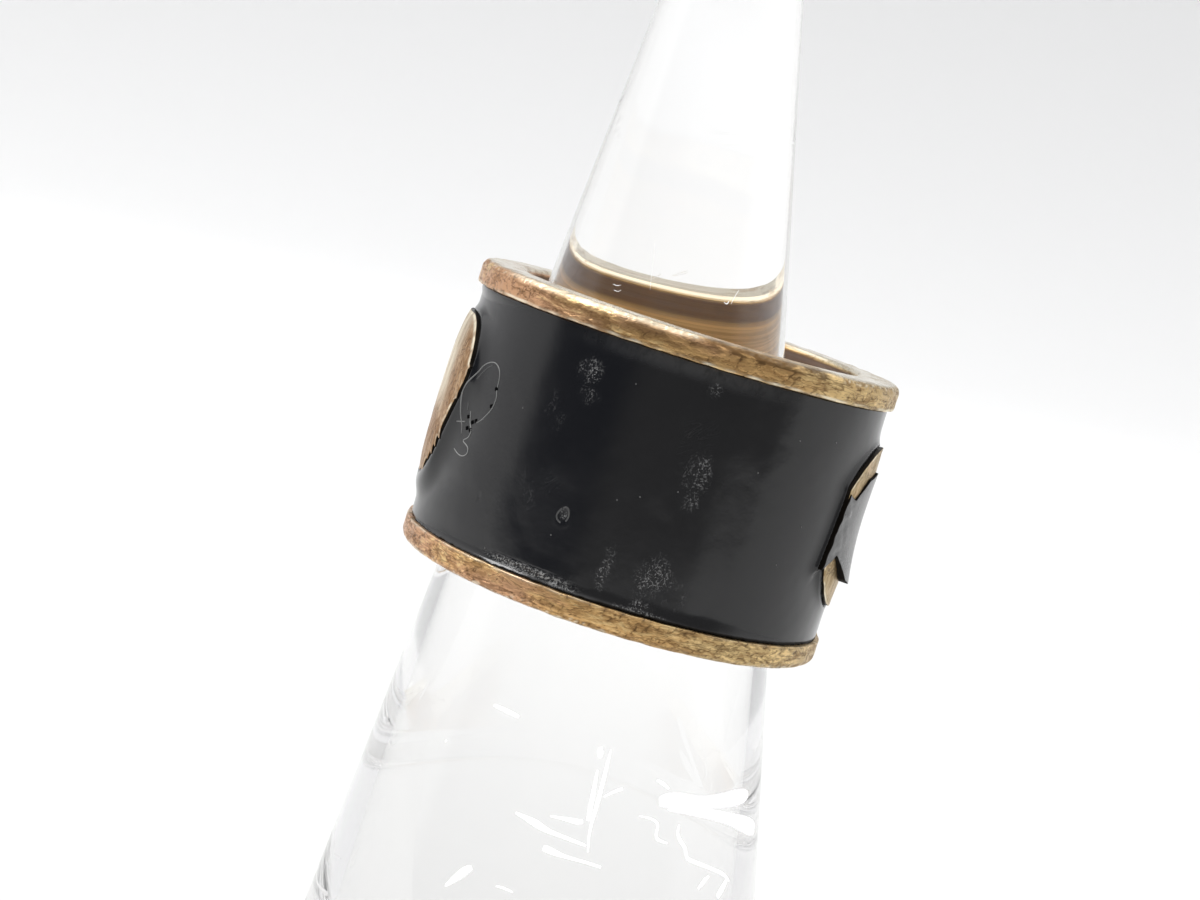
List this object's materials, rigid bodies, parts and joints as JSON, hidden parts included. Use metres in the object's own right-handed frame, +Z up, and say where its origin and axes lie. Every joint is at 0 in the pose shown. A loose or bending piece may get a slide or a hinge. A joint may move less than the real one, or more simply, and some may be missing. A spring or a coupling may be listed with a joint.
{
  "type": "enamel ring on a cone stand",
  "caption": "Wide brass band ring with black enamel between two rims and raised emblems on its sides, held up by a clear ring cone.",
  "frame": {"origin": "centre of the cone's flat base, on the surface that it stands on", "axes": "+Z up along the cone, -Y faces the plain side of the band, -X the shield, +X the medallion"},
  "size_m": [0.0248, 0.0248, 0.0646],
  "materials": {
    "brass": "worn antique brass, finely scratched lengthwise, browned in its pits",
    "black_enamel": "glossy black enamel with light scuffs",
    "clear_acrylic": "clear polished acrylic with a few scratches"
  },
  "bodies": {
    "root": {"band": "brass", "field_enamel": "black_enamel", "ribbon_enamel": "black_enamel", "stand_cone": "clear_acrylic"}
  },
  "joints": []
}
